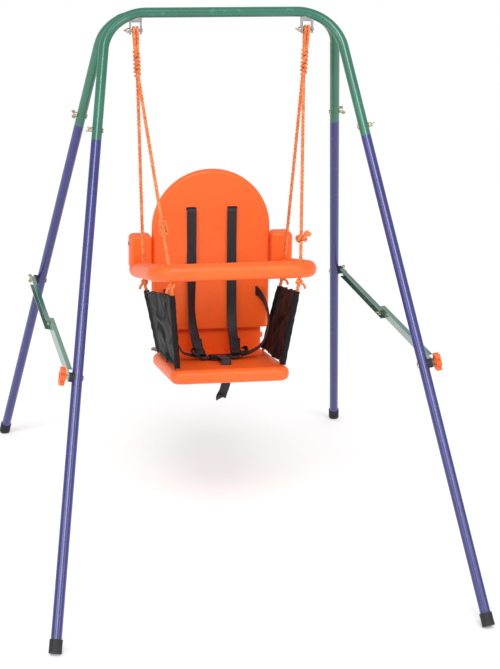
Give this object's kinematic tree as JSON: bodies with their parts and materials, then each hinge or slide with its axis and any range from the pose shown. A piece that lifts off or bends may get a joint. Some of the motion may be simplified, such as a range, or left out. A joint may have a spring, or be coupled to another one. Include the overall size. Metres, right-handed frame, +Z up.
{
  "type": "toddler swing set",
  "caption": "Freestanding tube-frame swing set with side braces and a moulded toddler bucket seat hung on ropes, with guard bar and safety harness.",
  "frame": {"origin": "on the floor, midway between the four feet", "axes": "+Z up, the seat faces -Y, +X to the right when facing the seat; +Y runs along the longest floor direction"},
  "size_m": [0.9168, 1.4506, 1.1911],
  "materials": {
    "green_coat": "satin",
    "blue_coat": "satin",
    "zinc": "satin",
    "orange_plastic": "satin",
    "orange_rope": "matte",
    "webbing": "matte",
    "black_fabric": "matte",
    "black_plastic": "satin",
    "black_rubber": "matte"
  },
  "bodies": {
    "frame": {"top_bar": "green_coat", "front_bend_left": "green_coat", "front_bend_right": "green_coat", "rear_bend_left": "green_coat", "rear_bend_right": "green_coat", "upper_leg_fl": "blue_coat", "upper_leg_fr": "blue_coat", "upper_leg_rl": "blue_coat", "upper_leg_rr": "blue_coat", "lower_leg_fl": "blue_coat", "lower_leg_fr": "blue_coat", "lower_leg_rl": "blue_coat", "lower_leg_rr": "blue_coat", "foot_cap_fl": "black_rubber", "foot_cap_fr": "black_rubber", "foot_cap_rl": "black_rubber", "foot_cap_rr": "black_rubber", "brace_front_left": "green_coat", "brace_rear_left": "green_coat", "brace_front_right": "green_coat", "brace_rear_right": "green_coat", "brace_spacers": "black_rubber", "knob_bolts": "zinc", "brace_bolts": "zinc", "stub_bolts": "zinc", "wing_nuts": "zinc", "hanger_left": "zinc", "hanger_right": "zinc", "hanger_bolts": "zinc"},
    "knob_left": {"knob_left": "orange_plastic"},
    "knob_right": {"knob_right": "orange_plastic"},
    "swing": {"rope_loop_left": "orange_rope", "rope_loop_right": "orange_rope", "whipping_left": "orange_rope", "whipping_right": "orange_rope", "strand_front_left": "orange_rope", "strand_front_right": "orange_rope", "strand_rear_left": "orange_rope", "strand_rear_right": "orange_rope", "rope_knots": "orange_rope", "seat_base": "orange_plastic", "backrest": "orange_plastic", "seat_pegs": "orange_plastic", "seat_rod": "zinc", "seat_rod_nut": "zinc", "guard_bolts": "zinc", "side_guard_left": "black_fabric", "side_guard_right": "black_fabric", "shoulder_strap_left": "webbing", "shoulder_strap_right": "webbing", "waist_strap_left": "webbing", "waist_strap_right": "webbing", "crotch_strap": "webbing", "strap_adjusters": "black_plastic", "strap_keepers": "black_plastic", "buckle": "black_plastic"},
    "guard": {"guard_bar": "orange_plastic"},
    "button_left": {"buckle_button_left": "black_plastic"},
    "button_right": {"buckle_button_right": "black_plastic"}
  },
  "joints": [
    {"name": "swing", "type": "hinge", "parent": "frame", "child": "swing", "pos_m": [0, 0, 1.1413], "axis": [1, 0, 0], "range_deg": [-40, 40]},
    {"name": "guard_lift", "type": "hinge", "parent": "swing", "child": "guard", "pos_m": [0, 0.118, 0.639], "axis": [-1, 0, 0], "range_deg": [0, 4]},
    {"name": "knob_left_turn", "type": "hinge", "parent": "frame", "child": "knob_left", "pos_m": [-0.36736, -0.42331, 0.48334], "axis": [-0.987, 0, 0.1606], "continuous": true},
    {"name": "knob_right_turn", "type": "hinge", "parent": "frame", "child": "knob_right", "pos_m": [0.36736, -0.42331, 0.48334], "axis": [0.987, 0, 0.1606], "continuous": true},
    {"name": "button_left_press", "type": "slide", "parent": "swing", "child": "button_left", "axis": [1, 0, 0], "range_m": [0, 0.0015], "stiffness_N_per_m": 400},
    {"name": "button_right_press", "type": "slide", "parent": "swing", "child": "button_right", "axis": [-1, 0, 0], "range_m": [0, 0.0015], "stiffness_N_per_m": 400}
  ]
}
